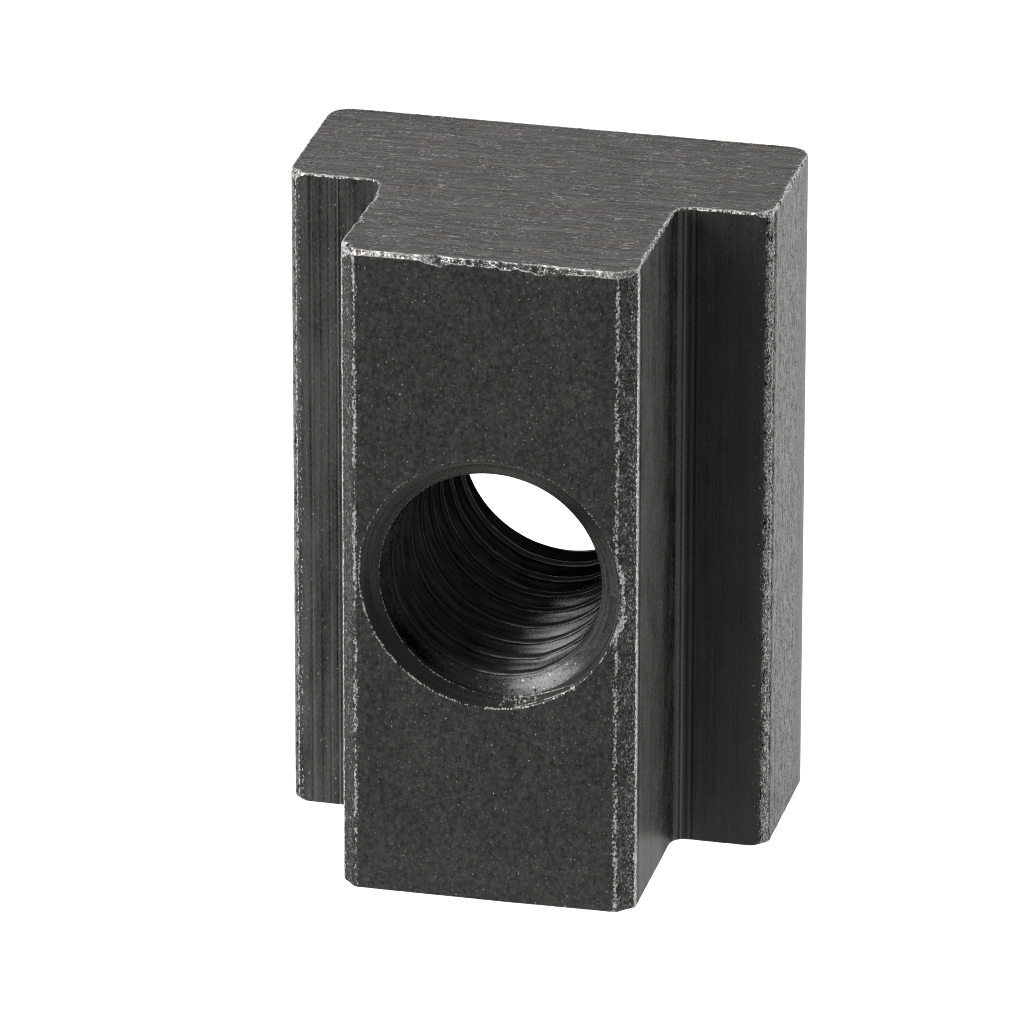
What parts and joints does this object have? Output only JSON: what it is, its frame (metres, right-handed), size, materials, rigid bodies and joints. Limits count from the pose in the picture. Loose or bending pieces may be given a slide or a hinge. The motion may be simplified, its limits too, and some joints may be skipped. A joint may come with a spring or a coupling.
{
  "type": "t slot nut",
  "caption": "Long T-section nut block with one tapped, countersunk cross hole, for clamping in a machine table's or profile's T-slot.",
  "frame": {"origin": "middle of the block's outline on the lower sawn end face, where it stands", "axes": "+Z along the block's length, which is the slot's direction; -Y out of the neck's face, where the screw enters; +X across the slot"},
  "size_m": [0.0154, 0.0118, 0.0215],
  "materials": {
    "black_oxide_steel": "satin"
  },
  "bodies": {
    "root": {"nut_body": "black_oxide_steel"}
  },
  "joints": []
}
